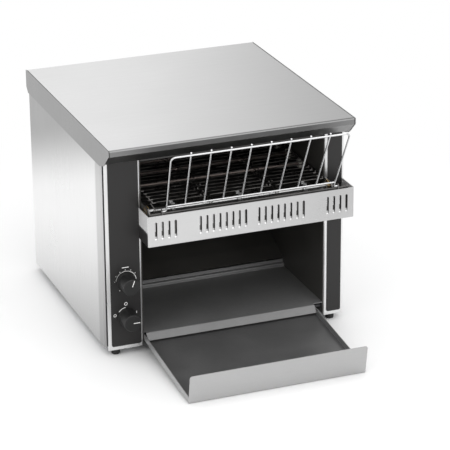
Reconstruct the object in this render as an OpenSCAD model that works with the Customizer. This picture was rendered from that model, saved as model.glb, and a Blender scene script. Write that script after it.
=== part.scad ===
// Countertop conveyor toaster: horizontal wire belt, leaning wire feed rack,
// louvred front band, discharge cavity and pull-out extension tray.
// Millimetres. X to the right seen from the front, Y to the back, Z up from the worktop.
// All pieces are laid out from the front plane of the posts, then moved so that the
// origin is under the centre of the whole toaster with its tray out.

/* [Housing] */
// Overall width
body_w = 380; // [360:1:420]
// Overall height, feet included
body_h = 333; // [325:1:360]
// Front plane of the posts to the outside of the rear panel
body_d = 360; // [350:1:400]
// Sheet thickness of covers and liners
sheet = 1; // [0.8:0.1:1.2]
// How far the top cover's nose stands ahead of the posts
lip_out = 34.5; // [30:0.5:38]
// Height of the nose's upright face
lip_face_h = 9; // [7:0.5:12]
// Drop from the top to the underside of the lip
lip_drop = 25.5; // [22:0.5:30]
// How far the bottom of the lip stands ahead of the posts
lip_back = 17; // [12:0.5:20]
// How far the top cover stands behind the rear panel
rear_out = 8; // [6:0.5:12]
// Drop of the top cover's upright rear face
rear_drop = 27; // [20:1:32]
// Height of the raised band along the top of each side panel
side_band_h = 35; // [30:1:45]
// How far that band stands proud of the side panel
side_band_proud = 0.6; // [0.3:0.1:0.8]
// Distance of the side panels' front edge behind the posts
side_setback = 7; // [6:0.5:9]
// Width of the side panels' rolled front edge, seen from the front
side_return = 3.6; // [3:0.1:4.4]
// Bend radius of that rolled edge
side_front_r = 2.4; // [1.5:0.1:2.8]
// Bend radius of the side panels' rear edge
side_roll_r = 4; // [3:0.5:5]
// Width of the side panels' rear flange
side_flange = 12; // [11:0.5:14]
// Gap between the top cover and each side panel
seam_gap = 1.2; // [0.5:0.1:1.6]
// Height of the side panels' lower edge above the worktop
side_clear = 13; // [12.6:0.1:14]

/* [Front] */
// Height of the posts' lower edge above the worktop
post_clear = 10.5; // [9:0.5:11]
// Inset of the posts' outer edges from the body's sides
post_inset = 3.6; // [3:0.1:5]
// Width of the left, control post
left_post_w = 54; // [52:0.5:58]
// Width of the right post
right_post_w = 30.4; // [28:0.2:34]
// Depth of the posts' inner flange
post_flange = 5.5; // [4:0.5:6]
// Distance of the posts' stiffener from their outer edge
post_rib_in = 5; // [4:0.5:8]
// Thickness of the dark front overlays
overlay_t = 0.8; // [0.5:0.1:1.2]
// Bright border left, outer side and bottom of the overlays
overlay_border = 5.4; // [4:0.1:7]
// Bright border at the overlays' inner side
overlay_inner = 2.8; // [2.4:0.1:3.2]
// Corner radius of the overlays
overlay_r = 3; // [1:0.5:5]

/* [Louvred band] */
// Height of the band's lower edge
band_z = 181.5; // [176:0.5:186]
// Height of the band
band_h = 46.5; // [44:0.5:50]
// How far the band stands ahead of the posts
band_out = 40; // [39:0.5:46]
// Sheet thickness of the band
band_t = 1.2; // [1:0.1:1.4]
// Depth of the band's lower return flange
band_return = 9; // [6:0.5:12]
// Width of a louvre slot
slot_w = 3.7; // [3:0.1:4]
// Height of a louvre slot
slot_h = 27.5; // [22:0.5:32]
// Distance between slots in a group
slot_pitch = 10; // [9:0.2:11]
// Distance of the inner slot groups from the band's centre
slot_inner_x = 45.3; // [42:0.5:50]
// Distance of the outer slot groups from the band's centre
slot_outer_x = 133.5; // [128:0.5:135]
// Thickness of the flap and the tongue behind a slot
flap_t = 0.8; // [0.6:0.1:1]
// Width of the flap, along its slope
flap_w = 3.5; // [3:0.1:3.8]
// Angle of the flap to the band
flap_angle = 35; // [25:1:38]
// Length of the tongue at a slot's lower end
tongue_len = 6.4; // [4:0.2:8]
// Angle of the tongue to the band
tongue_angle = 19; // [12:1:20]

/* [Conveyor] */
// Distance between strands of the wire belt
belt_pitch = 12.7; // [12:0.1:13.5]
// Strand pitches along each straight run
belt_run = 23; // [21:1:24]
// Teeth around each belt sprocket
belt_teeth = 6; // [6:2:8]
// Wire diameter of the belt
belt_wire = 1.5; // [1.2:0.1:1.6]
// Gap between the belt's edge and each side plate
belt_side_gap = 6; // [5:0.5:8]
// Half width of a strand's hooks
hook_half = 3; // [2.4:0.2:4]
// Distance of the front shaft ahead of the posts
front_shaft_out = 18; // [16:0.5:19]
// Height of both belt shafts
shaft_z = 228; // [227:0.5:229]
// Radius of the belt shafts
shaft_r = 4; // [3.5:0.25:5]
// Thickness of the conveyor's side plates
plate_t = 2; // [1.5:0.25:2.5]
// Height of the side plates' upper edge
plate_top_z = 236.5; // [235:0.5:238]
// Height of the side plates' lower edge
plate_low_z = 207; // [204:0.5:209]
// Width of a belt sprocket
sprocket_w = 5; // [4:0.5:7]
// Running clearance of shafts in their bushes
run_clear = 0.05; // [0.03:0.01:0.1]
// Slip clearance of fixed round pieces in their holes
slip_clear = 0.05; // [0.02:0.01:0.1]

/* [Feed rack] */
// Wire diameter of the rack
rack_wire = 2.6; // [2.2:0.1:3]
// Distance of the rack's pivot ahead of the posts
rack_pivot_out = 36.4; // [36.3:0.1:36.5]
// Height of the rack's pivot
rack_pivot_z = 232.5; // [232:0.25:233.5]
// Lean of the rack, outwards from upright
rack_lean = 24; // [18:0.5:28]
// Length of the rack from its pivot to its top bar
rack_len = 104.5; // [90:0.5:108]
// Length from the pivot to the bottom bar
rack_foot = 8.5; // [7.5:0.5:12]
// Width of the rack at its bottom
rack_w_low = 261.5; // [240:0.5:264]
// Width of the rack at its top
rack_w_top = 273.5; // [250:0.5:280]
// Number of bars between its side wires
rack_bars = 8; // [6:1:10]
// Distance of the rack's centre right of the body's centre
rack_x = 24.5; // [23:0.5:26]

/* [Discharge and tray] */
// Height of the inner floor
floor_z = 32; // [31:0.5:34]
// Depth of the inner floor behind the posts
floor_d = 152; // [140:1:160]
// Drop and reach of the inner floor's front ramp
ramp = 9; // [7:0.5:10]
// Height of each of the inner floor's two rear steps
floor_step = 5.5; // [4:0.5:7]
// Gap between each end of the ramp and the tray's walls
ramp_gap = 0.8; // [0.5:0.1:1.5]
// Side clearance of the tray at the left liner
tray_gap = 0.6; // [0.4:0.1:1]
// Side clearance of the tray at the right liner
tray_gap_right = 13.8; // [12:0.2:16]
// Distance of the tray's front corner ahead of the posts
tray_out = 187; // [170:1:195]
// How far the tray reaches back under the inner floor
tray_in = 19.5; // [19:0.5:22]
// Slope of the tray's floor
tray_slope = 5.4; // [4.8:0.1:5.5]
// Clearance under the tray's front edge
tray_clear = 0.8; // [0.5:0.1:2]
// Height of the tray's side walls
tray_wall = 9.5; // [8:0.5:9.5]
// Height of the tray's front plate
tray_plate_h = 45; // [40:1:50]
// Forward lean of that plate
tray_plate_lean = 9.5; // [5:0.5:14]

/* [Controls] */
// Distance of the knobs' axis from the body's left side
knob_x = 33; // [31:0.5:35]
// Height of the speed knob's axis
speed_z = 118; // [110:1:125]
// Height of the selector knob's axis
selector_z = 61.5; // [55:0.5:66]
// Radius of a knob's skirt
knob_r = 14; // [12:0.2:15]
// Radius of a knob's front face
knob_cap_r = 12.8; // [11:0.2:13.4]
// How far a knob stands ahead of the overlay
knob_h = 27; // [20:0.5:30]
// Radius of a knob's spindle
spindle_r = 3; // [2.5:0.25:3.5]
// Angle of the speed knob's pointer, from the right
speed_angle = 69; // [0:1:180]
// Angle of the selector knob's pointer, from the right
selector_angle = 0; // [0:1:180]

/* [Feet] */
// Radius of a foot
foot_r = 7.8; // [7:0.2:9]
// Distance of the feet from the body's sides
foot_x = 18.5; // [18:0.5:22]
// Distance of the front feet behind the posts
foot_y = 12; // [11.5:0.5:16]

/* [Heating] */
// Radius of a heating element
element_r = 3.2; // [3:0.1:4]
// Distance between heating elements
element_pitch = 46; // [40:1:50]
// First element's distance behind the posts
element_y = 84; // [80:1:90]
// Distance of the upper elements below the lip
upper_drop = 21.5; // [18:0.5:24]
// Distance of the baffle's lower edge below the lip
baffle_drop = 32; // [28:0.5:35]
// Distance of the baffle behind the posts
baffle_y = 60; // [55:1:70]

/* [Hidden] */

$fn = 48;
eps = 0.01;
half_w = body_w / 2;
bend_r = 1.5;

// Heights and depths that several pieces share
top_z = body_h;
lip_z = body_h - lip_drop;
rear_y = body_d + rear_out;
pan_z = post_clear + sheet;
upper_z = lip_z - upper_drop;
baffle_z = lip_z - baffle_drop;
side_in = half_w - side_band_proud - sheet;
// Inner face and half width of the rear panel, which lies against the side panels' flanges
rear_in_y = body_d - 2 * sheet;
rear_half = side_in - side_roll_r - 2;
cover_half = half_w - sheet - seam_gap;
// How far the top cover's rear flange reaches down over the rear panel's edge
cover_tuck = 12;

// Posts, liners and the conveyor's side plates, from left to right
left_post_x0 = -half_w + post_inset;
left_post_x1 = left_post_x0 + left_post_w;
right_post_x1 = half_w - post_inset;
right_post_x0 = right_post_x1 - right_post_w;
tunnel_x0 = left_post_x1 + sheet;
tunnel_x1 = right_post_x0 - sheet;
plates_x0 = tunnel_x0 + plate_t;
plates_x1 = tunnel_x1 - plate_t;
belt_x0 = plates_x0 + belt_side_gap;
belt_x1 = plates_x1 - belt_side_gap;
liner_y1 = body_d - 8;

// Belt geometry
belt_r = belt_pitch / (2 * sin(180 / belt_teeth));
belt_len = belt_run * belt_pitch;
front_shaft_y = -front_shaft_out;
rear_shaft_y = front_shaft_y + belt_len;
belt_count = 2 * belt_run + belt_teeth;

// Band
band_x0 = left_post_x1 - overlay_inner;
band_x1 = right_post_x1;
band_mid = (band_x0 + band_x1) / 2;
slot_z = band_z + band_h / 2;
// Front of what stands behind the band and its flaps
behind_band = -band_out + band_t + 2.4;

// Tray
tray_x0 = tunnel_x0 + tray_gap;
tray_x1 = tunnel_x1 - tray_gap_right;
tray_w = tray_x1 - tray_x0;
tray_len = (tray_out + tray_in) / cos(tray_slope);
tray_front_y = -tray_out - sin(tray_plate_lean) * tray_plate_h;

// Move from the posts' front plane to the middle of the whole toaster
shift_y = -(rear_y + tray_front_y) / 2;

steel = [0.80, 0.80, 0.79];
dark_steel = [0.24, 0.24, 0.25];
liner_col = [0.10, 0.10, 0.10];
chrome = [0.86, 0.86, 0.87];
black = [0.08, 0.08, 0.09];
brass = [0.72, 0.60, 0.32];
ceramic = [0.90, 0.88, 0.82];
wool = [0.85, 0.80, 0.62];

// ---------- helpers ----------

// Length that a bend takes from each straight run at point i of a path
function bend_cut(p, i, r) =
    let (a = atan2(p[i].y - p[i - 1].y, p[i].x - p[i - 1].x),
         b = atan2(p[i + 1].y - p[i].y, p[i + 1].x - p[i].x),
         turn = abs(((b - a + 540) % 360) - 180))
    r * tan(turn / 2);

function unit(v) = v / norm(v);

// How far a straight run ends inside its bend, and how much fuller the bend is
run_in = 0.2;
bend_fuller = 0.02;

// A bent sheet seen edge on: straight runs joined by round bends
module bent_sheet(p, t = sheet, r = bend_r) {
    last = len(p) - 1;
    for (i = [0 : last - 1]) {
        u = unit(p[i + 1] - p[i]);
        c0 = i == 0 ? 0 : bend_cut(p, i, r) - run_in;
        c1 = i == last - 1 ? 0 : bend_cut(p, i + 1, r) - run_in;
        translate(p[i] + u * c0)
            rotate(atan2(u.y, u.x))
                translate([0, -t / 2])
                    square([norm(p[i + 1] - p[i]) - c0 - c1, t]);
    }
    for (i = [1 : last - 1])
        sheet_bend(p, i, t, r);
}

// One bend of a sheet: the part of a ring between its two straight runs
module sheet_bend(p, i, t, r) {
    cut = bend_cut(p, i, r);
    t0 = p[i] - unit(p[i] - p[i - 1]) * cut;
    t1 = p[i] + unit(p[i + 1] - p[i]) * cut;
    half = unit((t0 + t1) / 2 - p[i]);
    c = p[i] + half * norm([cut, r]);
    intersection() {
        translate(c)
            difference() {
                circle(r + t / 2 + bend_fuller);
                circle(r - t / 2 - bend_fuller);
            }
        polygon([c, c + (t0 - c) * 2, p[i] + (p[i] - c), c + (t1 - c) * 2]);
    }
}

// A profile drawn in Y and Z, run along X from x0 to x1
module along_x(x0, x1) {
    translate([x0, 0, 0])
        rotate([90, 0, 90])
            linear_extrude(x1 - x0)
                children();
}

// A profile drawn in X and Z, run along Y from y0 to y1
module along_y(y0, y1) {
    translate([0, y1, 0])
        rotate([90, 0, 0])
            linear_extrude(y1 - y0)
                children();
}

// A box from one corner to the opposite one
module box(a, b) {
    translate(a)
        cube(b - a);
}

// A round bar along X
module bar_x(x0, x1, y, z, r) {
    translate([x0, y, z])
        rotate([0, 90, 0])
            cylinder(h = x1 - x0, r = r);
}

// A round bar along Y
module bar_y(y0, y1, x, z, r) {
    translate([x, y1, z])
        rotate([90, 0, 0])
            cylinder(h = y1 - y0, r = r);
}

// A rectangle with true round corners
module round_rect(w, h, r) {
    translate([r, 0])
        square([w - 2 * r, h]);
    translate([0, r])
        square([w, h - 2 * r]);
    for (x = [r, w - r])
        for (y = [r, h - r])
            translate([x, y])
                circle(r);
}

// A slot with round ends, centred
module slot_2d(w, h) {
    translate([-w / 2, -h / 2 + w / 2])
        square([w, h - w]);
    for (s = [-1, 1])
        translate([0, s * (h - w) / 2])
            circle(w / 2);
}

// ---------- housing ----------

module top_cover() {
    color(steel)
        along_x(-cover_half, cover_half)
            bent_sheet([[side_setback + sheet / 2, lip_z + sheet / 2],
                        [-lip_back + 0.4, lip_z + sheet / 2],
                        [-lip_out + sheet / 2, top_z - lip_face_h + 0.2],
                        [-lip_out + sheet / 2, top_z - sheet / 2],
                        [rear_y - sheet / 2, top_z - sheet / 2],
                        [rear_y - sheet / 2, top_z - rear_drop],
                        [body_d + sheet / 2, top_z - rear_drop - rear_out],
                        [body_d + sheet / 2, top_z - rear_drop - rear_out - cover_tuck]]);
}

// Outline of the raised band of a side panel, in Y and Z
module side_band_2d() {
    low = top_z - side_band_h;
    polygon([[-lip_out, top_z], [-lip_out, top_z - lip_face_h], [-lip_back, lip_z],
             [-lip_back + 6, lip_z - 4], [side_setback, low], [body_d, low],
             [rear_y, top_z - rear_drop], [rear_y, top_z]]);
}

// Left side panel; the right one is its mirror image
module side_panel() {
    roll = side_roll_r + sheet;
    face_x = -half_w + side_band_proud;
    // Raised band
    along_x(-half_w, -half_w + sheet)
        side_band_2d();
    // Lower face
    box([face_x, side_setback + roll, side_clear],
        [face_x + sheet, body_d - roll, top_z - side_band_h + 1]);
    // Narrow rolled edge at the front and wide flange at the back
    translate([0, 0, side_clear])
        linear_extrude(top_z - side_band_h - side_clear) {
            bent_sheet([[face_x + sheet / 2, side_setback + roll + 1],
                        [face_x + sheet / 2, side_setback + sheet / 2],
                        [face_x + side_return, side_setback + sheet / 2]],
                       sheet, side_front_r);
            bent_sheet([[face_x + sheet / 2, body_d - roll - 1],
                        [face_x + sheet / 2, body_d - sheet / 2],
                        [face_x + side_flange, body_d - sheet / 2]],
                       sheet, side_roll_r);
        }
    // Shelf that carries the top cover
    box([-half_w + sheet - eps, -lip_out + 4, top_z - 2 * sheet],
        [-half_w + 14, rear_y - 4, top_z - sheet]);
}

module left_side_panel() {
    color(steel)
        side_panel();
}

module right_side_panel() {
    color(steel)
        mirror([1, 0, 0])
            side_panel();
}

// Rear panel with vent louvres, a fan grille and the hole of the cord gland
gland_x = -half_w + 30;
gland_z = 200;
gland_r = 8;
fan_x = -half_w + 31;
fan_z = 62;
fan_size = 50;
fan_depth = 15;
fan_hub_r = 9;

module rear_panel() {
    vent_cols = 13;
    vent_pitch = 14;
    color(steel)
        difference() {
            box([-rear_half, rear_in_y, side_clear],
                [rear_half, rear_in_y + sheet, top_z - rear_drop - rear_out - 0.5]);
            bar_y(0, 2 * body_d, gland_x, gland_z, gland_r + slip_clear);
            for (row = [0, 1])
                for (i = [0 : vent_cols - 1])
                    along_y(0, 2 * body_d)
                        translate([(i - (vent_cols - 1) / 2) * vent_pitch + 12, 236 - row * 48])
                            slot_2d(4, 34);
            for (i = [-3 : 3])
                along_y(0, 2 * body_d)
                    translate([fan_x + i * 6, fan_z])
                        slot_2d(3, 2 * sqrt(23 * 23 - i * i * 36));
        }
}

// Floor of the two side compartments and of the rear, open under the tray
pan_back = 200;

module base_pan() {
    pan_half = side_in;
    color(steel)
        difference() {
            union() {
                box([-pan_half, side_setback + side_roll_r + 2, pan_z],
                    [pan_half, body_d - side_roll_r - 2, pan_z + sheet]);
                // Upturned edges against the side panels
                for (s = [-1, 1])
                    box([s > 0 ? pan_half - sheet : -pan_half, side_setback + 2 * side_roll_r, pan_z],
                        [s > 0 ? pan_half : -pan_half + sheet, body_d - 2 * side_roll_r, pan_z + 16]);
                // Tongues that reach the posts' lower flanges
                box([left_post_x0 + post_rib_in + sheet, sheet + 0.2, pan_z],
                    [left_post_x1 - 4, side_setback + 8, pan_z + sheet]);
                box([right_post_x0 + 4, sheet + 0.2, pan_z],
                    [right_post_x1 - post_rib_in - sheet, side_setback + 8, pan_z + sheet]);
            }
            box([tunnel_x0 - 1.5 * sheet - 6, -1, 0], [tunnel_x1 + 1.5 * sheet + 6, pan_back, 60]);
            for (x = [-half_w + foot_x, half_w - foot_x])
                for (y = [foot_y, body_d - foot_y - 10])
                    translate([x, y, 0])
                        cylinder(h = 60, r = 2.2);
            // Air inlet under the fan
            for (i = [-3 : 3])
                translate([fan_x + i * 6, body_d - 60, 0])
                    linear_extrude(60)
                        slot_2d(3, 30);
        }
}

// ---------- front ----------

// Front post between x0 and x1; inner is -1 if its inner, flanged side is on the left.
// Its outer edge is free, and a stiffener stands a little way in behind it.
module front_post(x0, x1, inner) {
    in_x = inner < 0 ? x0 + sheet / 2 : x1 - sheet / 2;
    out_x = inner < 0 ? x1 : x0;
    rib_x = out_x + inner * post_rib_in;
    translate([0, 0, post_clear])
        linear_extrude(lip_z - post_clear) {
            bent_sheet([[in_x, post_flange], [in_x, sheet / 2], [out_x, sheet / 2]]);
            translate([rib_x - sheet / 2, sheet / 2])
                square([sheet, side_setback - sheet / 2]);
        }
    box([x0 + 4, sheet / 2, post_clear], [x1 - 4, foot_y - foot_r - 0.6, post_clear + sheet]);
}

module left_front_post() {
    color(steel)
        difference() {
            front_post(left_post_x0, left_post_x1, 1);
            for (z = [speed_z, selector_z])
                bar_y(-5, 5, -half_w + knob_x, z, 5);
        }
}

module right_front_post() {
    color(steel)
        front_post(right_post_x0, right_post_x1, -1);
}

module overlay(x0, x1) {
    z0 = post_clear + overlay_border;
    along_y(-overlay_t, 0)
        translate([x0, z0])
            round_rect(x1 - x0, lip_z - 0.5 - z0, overlay_r);
}

module control_overlay() {
    color(black)
        difference() {
            overlay(left_post_x0 + overlay_border, left_post_x1 - overlay_inner);
            for (z = [speed_z, selector_z])
                bar_y(-5, 5, -half_w + knob_x, z, 4);
        }
}

module right_overlay() {
    color(black)
        overlay(right_post_x0 + overlay_border - 0.6, right_post_x1 - overlay_inner);
}

// Centres of the slots of the four groups: 4, 8, 8 and 4 slots
function slot_group(count, x) =
    [for (i = [0 : count - 1]) x + (i - (count - 1) / 2) * slot_pitch];

slot_groups = [slot_group(4, band_mid - slot_outer_x), slot_group(8, band_mid - slot_inner_x),
               slot_group(8, band_mid + slot_inner_x), slot_group(4, band_mid + slot_outer_x)];

// Folded channel across the front with its louvre slots
module front_band() {
    face_y = -band_out + band_t / 2;
    color(steel) {
        difference() {
            union() {
                translate([0, 0, band_z])
                    linear_extrude(band_h)
                        bent_sheet([[band_x0 + band_t / 2, 0], [band_x0 + band_t / 2, face_y],
                                    [band_x1 - band_t / 2, face_y], [band_x1 - band_t / 2, 0]],
                                   band_t, 2);
                box([band_x0 + 3, -band_out + band_t / 2, band_z],
                    [band_x1 - 3, -band_out + band_return, band_z + band_t]);
            }
            for (group = slot_groups)
                for (x = group)
                    along_y(-band_out - 5, -band_out + 5)
                        translate([x, slot_z])
                            slot_2d(slot_w, slot_h);
        }
        for (group = slot_groups) {
            // Flaps behind the slots' upper halves, folded in at their left sides
            for (i = [0 : len(group) - 2])
                translate([group[i] - slot_w / 2 - 0.8, -band_out + 0.5, slot_z - 1])
                    rotate([0, 0, flap_angle])
                        cube([flap_w, flap_t, slot_h / 2 + 1.4]);
            // Tongues folded in at the slots' lower ends
            for (x = group)
                translate([x - slot_w / 2 - 0.5, -band_out + 0.5, slot_z - slot_h / 2 - 0.9])
                    rotate([-tongue_angle, 0, 0])
                        cube([slot_w + 1, flap_t, tongue_len]);
        }
    }
}

// ---------- conveyor frame ----------

// Outline of a conveyor side plate in Y and Z, with its chamfered nose
module plate_2d() {
    nose = behind_band + sheet;
    polygon([[nose, plate_low_z + 4], [nose, plate_top_z - 7], [nose + 6, plate_top_z],
             [rear_shaft_y + belt_r, plate_top_z], [rear_shaft_y + belt_r + 4, plate_top_z - 6],
             [rear_shaft_y + belt_r + 4, plate_low_z + 6], [rear_shaft_y + belt_r - 6, plate_low_z],
             [nose + 4, plate_low_z]]);
}

module conveyor_plate(x0) {
    difference() {
        along_x(x0, x0 + plate_t)
            plate_2d();
        for (y = [front_shaft_y, rear_shaft_y])
            bar_x(x0 - 1, x0 + plate_t + 1, y, shaft_z, bush_r + slip_clear);
    }
}

module left_conveyor_plate() {
    color(dark_steel)
        conveyor_plate(tunnel_x0);
}

module right_conveyor_plate() {
    color(dark_steel)
        conveyor_plate(plates_x1);
}

strip_reach = 12;
strip_low_z = band_z + 12;
ear_half = 2.1;
ear_t = 1.5;

// Dark strip across the side plates' noses, with an ear for each pivot of the rack
module front_cross_strip() {
    y0 = behind_band;
    color(dark_steel) {
        along_x(tunnel_x0, band_x1 - 8)
            bent_sheet([[y0 + sheet / 2, rack_pivot_z - rack_wire / 2 - 0.6],
                        [y0 + sheet / 2, strip_low_z],
                        [y0 + strip_reach, strip_low_z]]);
        for (x = [rack_ear_x0, rack_ear_x1 - ear_t])
            difference() {
                box([x, -rack_pivot_out - ear_half, rack_pivot_z - 9],
                    [x + ear_t, -rack_pivot_out + ear_half, rack_pivot_z + 3]);
                bar_x(x - 1, x + ear_t + 1, -rack_pivot_out, rack_pivot_z,
                      rack_wire / 2 + run_clear);
            }
    }
}

// ---------- liners ----------

// Upright liner of the tunnel with the slot for the tray's shoe and a hole for the shaft
module liner(x0, with_shaft) {
    color(liner_col)
        difference() {
            box([x0, sheet, pan_z + sheet], [x0 + sheet, liner_y1, lip_z - sheet]);
            box([x0 - 1, shoe_y0 - 0.5, shoe_z0 - 0.6], [x0 + 2, shoe_y0 + shoe_travel, shoe_z1 + 0.6]);
            if (with_shaft)
                bar_x(x0 - 1, x0 + 2, rear_shaft_y, shaft_z, shaft_r + 2);
        }
}

module left_liner() {
    liner(left_post_x1, true);
}

module right_liner() {
    liner(tunnel_x1, false);
}

// Roof of the oven; its front edge turns down to the lip
module oven_roof() {
    z = lip_z - 2 * sheet;
    color(liner_col)
        along_x(tunnel_x0, tunnel_x1)
            bent_sheet([[side_setback + 3, z - 10], [side_setback + 3, z],
                        [liner_y1 - sheet / 2, z], [liner_y1 - sheet / 2, z - oven_back_h]]);
}

// Baffle that closes the oven over the bread
module oven_baffle() {
    z = lip_z - 2 * sheet - sheet / 2;
    color(liner_col)
        along_x(tunnel_x0, tunnel_x1)
            bent_sheet([[baffle_y, baffle_z], [baffle_y, z - sheet / 2],
                        [baffle_y + 14, z - sheet / 2]]);
}

// Screws of the baffle, in two pairs
baffle_screw_x = [-93.5, -75.5, 103.5, 121.5];

module baffle_screws() {
    color(chrome)
        for (x = baffle_screw_x)
            translate([x, baffle_y - sheet / 2, baffle_z + 5])
                rotate([90, 0, 0]) {
                    cylinder(h = 0.8, r = 3);
                    cylinder(h = 2.2, r = 2.1);
                }
}

// Shield under the belt; it is also the roof of the discharge cavity
module belt_shield() {
    z = band_z + 14;
    color(liner_col)
        along_x(tunnel_x0, tunnel_x1)
            bent_sheet([[-front_shaft_out - 4, z - 8], [-front_shaft_out - 4, z],
                        [rear_shaft_y - 6, z], [rear_shaft_y - 6, z - 10]]);
}

// Chute that turns the toast and brings it down to the inner floor
chute_r = 20;
chute_low = 17;
chute_toe = 26;
chute_rise = 14;
oven_back_h = 40;

module toast_chute() {
    step_y = floor_d + floor_step;
    back_y = liner_y1 - 1.5 * sheet;
    knee_z = plate_low_z - chute_low;
    color(liner_col)
        along_x(tunnel_x0, tunnel_x1)
            bent_sheet([[back_y, lip_z - oven_back_h], [back_y, knee_z],
                        [back_y - 1.5 * chute_r, knee_z - 3.5 * chute_r],
                        [step_y + chute_toe, floor_z + 2 * floor_step + chute_rise],
                        [step_y + sheet, floor_z + 2 * floor_step + sheet]],
                       sheet, chute_r);
}

// Floor that the toast lands on: two steps at the back, a ramp at the front
module inner_floor() {
    z = floor_z - sheet / 2;
    color(dark_steel) {
        along_x(tunnel_x0, tunnel_x1)
            bent_sheet([[1, z], [floor_d, z], [floor_d, z + floor_step],
                        [floor_d + floor_step, z + floor_step],
                        [floor_d + floor_step, z + 2 * floor_step]]);
        along_x(tray_x0 + sheet + ramp_gap, tray_x1 - sheet - ramp_gap)
            bent_sheet([[2, z], [-4, z], [-4 - ramp, z - ramp]]);
    }
}

// ---------- tray ----------

shoe_len = 12;
shoe_h = 4.6;
shoe_y0 = tray_in - shoe_len - 1;
shoe_z0 = 21.6;
shoe_z1 = shoe_z0 + shoe_h;
tray_travel = 155;
shoe_travel = tray_travel + shoe_len + 0.5;
runner_y1 = shoe_y0 + shoe_travel + 6;

// Angle rails behind the liners, on which the tray's shoes slide
module tray_runners() {
    z = shoe_z0 - 0.3;
    color(steel)
        for (s = [-1, 1])
            along_y(side_setback + 0.5, runner_y1)
                translate([s < 0 ? left_post_x1 : tunnel_x1 + sheet, 0])
                    mirror([s < 0 ? 1 : 0, 0])
                        bent_sheet([[sheet / 2, z - 7.8], [sheet / 2, z - sheet / 2],
                                    [9, z - sheet / 2]], sheet, 1);
}

// Shallow sloping tray with a tall front plate that leans outwards
module extension_tray() {
    color(dark_steel)
        translate([tray_x0, -tray_out, tray_clear]) {
            rotate([tray_slope, 0, 0]) {
                cube([tray_w, tray_len, sheet]);
                cube([sheet, tray_len, tray_wall]);
                translate([tray_w - sheet, 0, 0])
                    cube([sheet, tray_len, tray_wall]);
            }
            rotate([tray_plate_lean, 0, 0])
                along_y(0, sheet)
                    tray_plate_2d();
        }
}

// Front plate of the tray, with rounded upper corners
module tray_plate_2d() {
    r = 4;
    square([tray_w, tray_plate_h - r]);
    translate([r, 0])
        square([tray_w - 2 * r, tray_plate_h]);
    for (x = [r, tray_w - r])
        translate([x, tray_plate_h - r])
            circle(r);
}

// Sliding shoes at the tray's rear corners, through the slots of the liners
module tray_shoes() {
    reach = 7;
    color(black)
        for (s = [-1, 1])
            along_x(s < 0 ? tray_x0 - reach : tray_x1, s < 0 ? tray_x0 : tunnel_x1 + sheet + reach)
                translate([shoe_y0, shoe_z0])
                    round_rect(shoe_len, shoe_h, 1.5);
}

// ---------- belt and drive ----------

// Place of the belt at u pitches along its loop: [y, z, direction of travel]
function belt_at(u) =
    let (arc = belt_teeth / 2, step = 360 / belt_teeth)
    u < belt_run ?
        [rear_shaft_y - u * belt_pitch, shaft_z + belt_r, 180] :
    u < belt_run + arc ?
        let (a = 90 + (u - belt_run) * step)
        [front_shaft_y + belt_r * cos(a), shaft_z + belt_r * sin(a), a + 90] :
    u < 2 * belt_run + arc ?
        [front_shaft_y + (u - belt_run - arc) * belt_pitch, shaft_z - belt_r, 360] :
        let (a = 270 + (u - 2 * belt_run - arc) * step)
        [rear_shaft_y + belt_r * cos(a), shaft_z + belt_r * sin(a), a + 90];

// A point of a strand: across the belt at x, s pitches ahead, n outwards
function strand_point(k, x, s, n) =
    let (b = belt_at((k + s) % belt_count), d = b[2])
    [x, b[0] + n * sin(d), b[1] - n * cos(d)];

// Each hook of a strand rises over the next strand and drops behind it
hook_over = [1 + 0.15 * belt_wire / belt_pitch, 1.47 * belt_wire];
hook_tip = [1 + 1.45 * belt_wire / belt_pitch, 0.12 * belt_wire];
// Places of the inner hooks across the belt, and how far neighbours stand apart
hook_places = [0.31, 0.69];
hook_shift = 1.4 * hook_half;

// Edge hook: from the corner at x, inwards on the side given by d, to its tail
function edge_hook(k, x, d) =
    [strand_point(k, x + d * 1.6, 0, 0),
     strand_point(k, x, 1.2 * belt_wire / belt_pitch, 0),
     strand_point(k, x + d * 1.7 * belt_wire, hook_over[0], hook_over[1]),
     strand_point(k, x + d * 1.9 * belt_wire, hook_tip[0], hook_tip[1]),
     strand_point(k, x + d * 2.4 * hook_half, hook_tip[0], 0)];

function inner_hook(k, x) =
    [for (q = [[-1, 0, 0], [-0.9, hook_over[0], hook_over[1]], [-0.7, hook_tip[0], hook_tip[1]],
               [0.7, hook_tip[0], hook_tip[1]], [0.9, hook_over[0], hook_over[1]], [1, 0, 0]])
        strand_point(k, x + q[0] * hook_half, q[1], q[2])];

function turned(p) = [for (i = [len(p) - 1 : -1 : 0]) p[i]];

// One strand across the belt: an edge hook at each end and two inner hooks
function strand_path(k) =
    let (shift = (k % 2 == 0 ? -1 : 1) * hook_shift)
    concat(turned(edge_hook(k, belt_x0, 1)),
           [for (f = hook_places) each inner_hook(k, belt_x0 + (belt_x1 - belt_x0) * f + shift)],
           edge_hook(k, belt_x1, -1));

// Corners of a wire's section at point i of its path
wire_sides = 5;

function wire_ring(p, i, r) =
    let (a = p[max(i - 1, 0)], b = p[min(i + 1, len(p) - 1)], t = unit(b - a),
         up = abs(t.z) > 0.8 ? [0, 1, 0] : [0, 0, 1],
         e = unit(cross(up, t)), f = cross(t, e))
    [for (j = [0 : wire_sides - 1])
        p[i] + r * (cos(360 * j / wire_sides) * e + sin(360 * j / wire_sides) * f)];

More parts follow.
